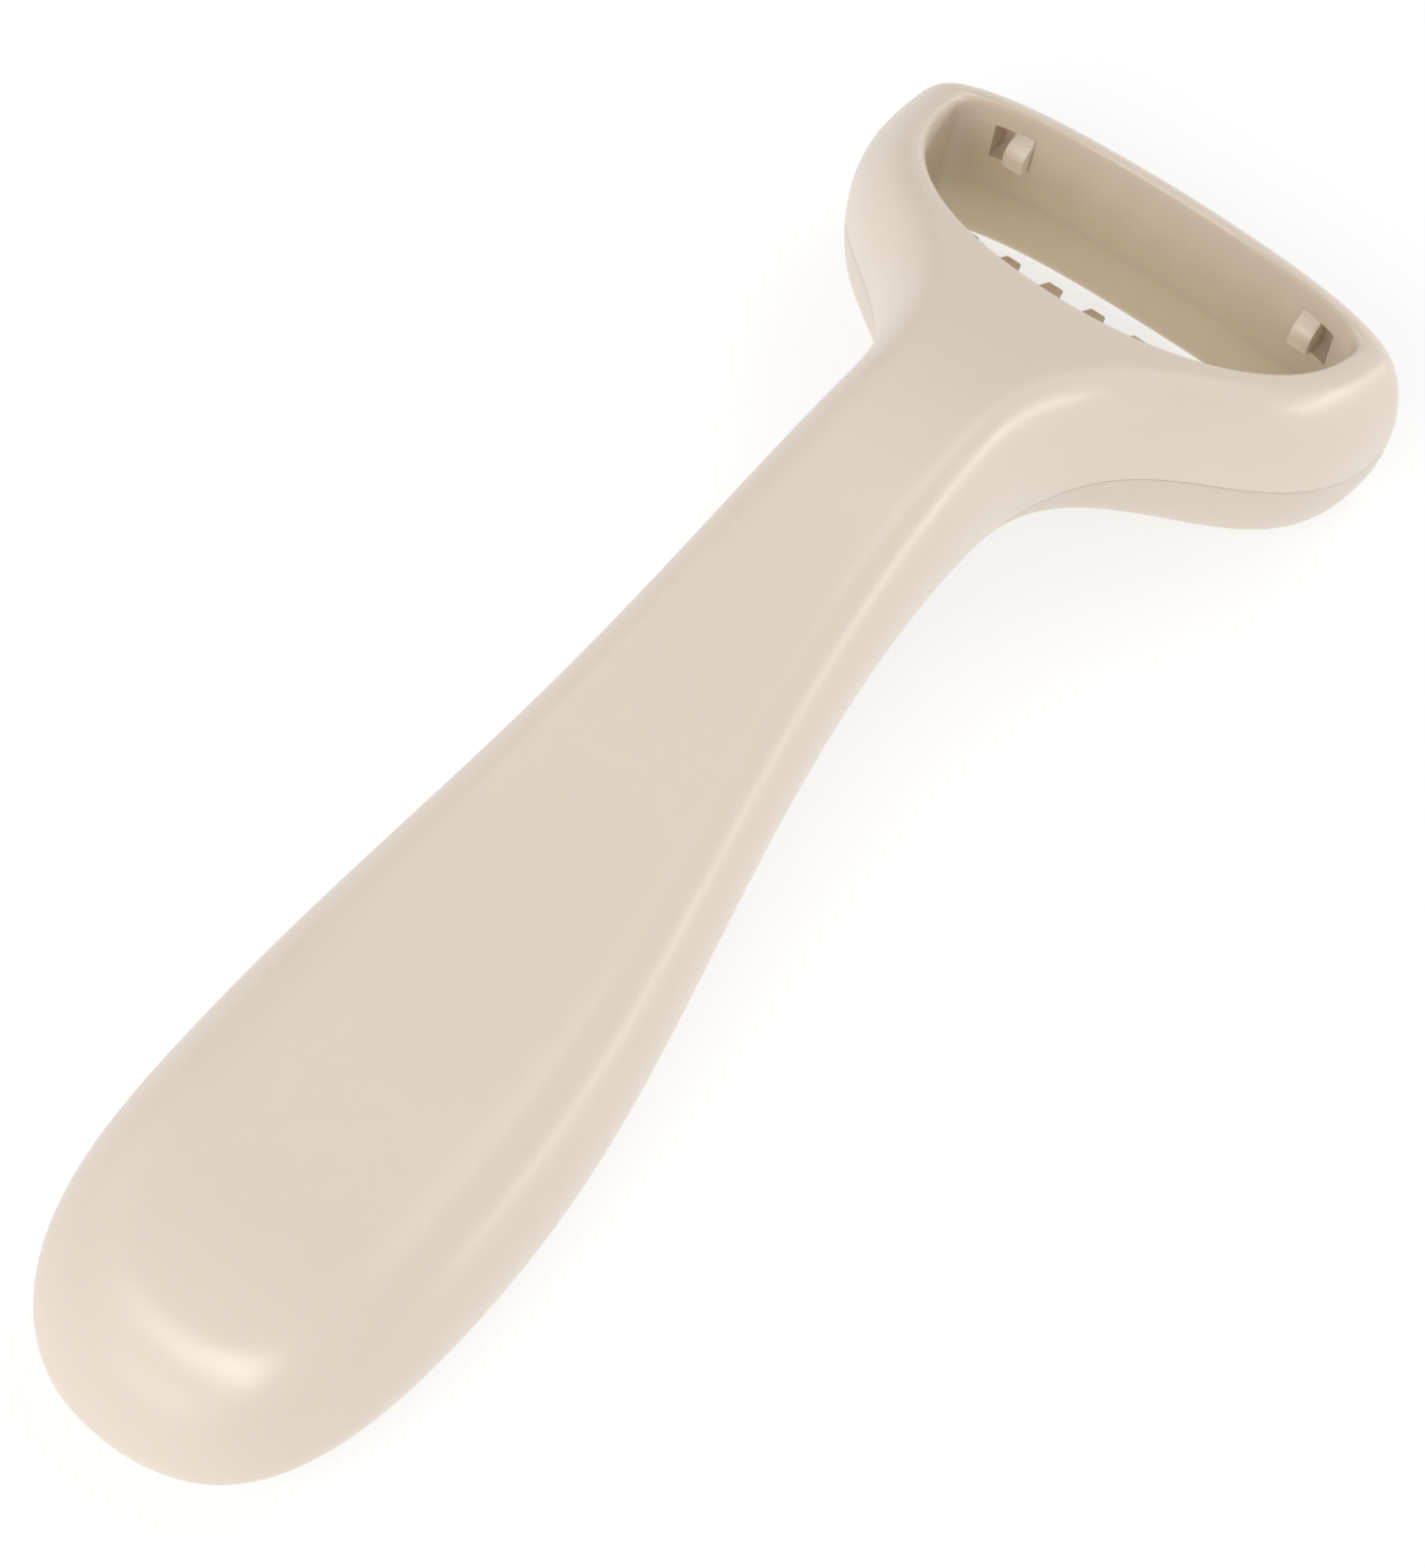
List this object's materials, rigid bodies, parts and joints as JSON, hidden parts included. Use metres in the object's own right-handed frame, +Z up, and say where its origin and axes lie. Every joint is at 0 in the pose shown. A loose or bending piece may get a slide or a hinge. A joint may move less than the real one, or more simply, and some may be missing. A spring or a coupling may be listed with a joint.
{
  "type": "hand tool body",
  "caption": "Beige moulded hand tool body: paddle grip, arched narrow neck, and a deep ring head round a D-shaped opening with a toothed plate and snap fingers.",
  "frame": {"origin": "the middle of the tool's outline, on the surface that it lies on", "axes": "+Y from the grip end to the far bar of the head, +Z up, +X to the right with the grip end nearest"},
  "size_m": [0.06, 0.175, 0.0386],
  "materials": {
    "upper_shell": "satin moulded plastic, warm beige, with a soft sheen",
    "lower_shell": "satin moulded plastic, slightly deeper beige",
    "tooth_plate": "satin moulded plastic, tan",
    "clips": "satin moulded plastic, warm beige"
  },
  "bodies": {
    "root": {"upper_shell": "upper_shell", "lower_shell": "lower_shell", "tooth_plate": "tooth_plate", "left_clip": "clips", "right_clip": "clips"}
  },
  "joints": []
}
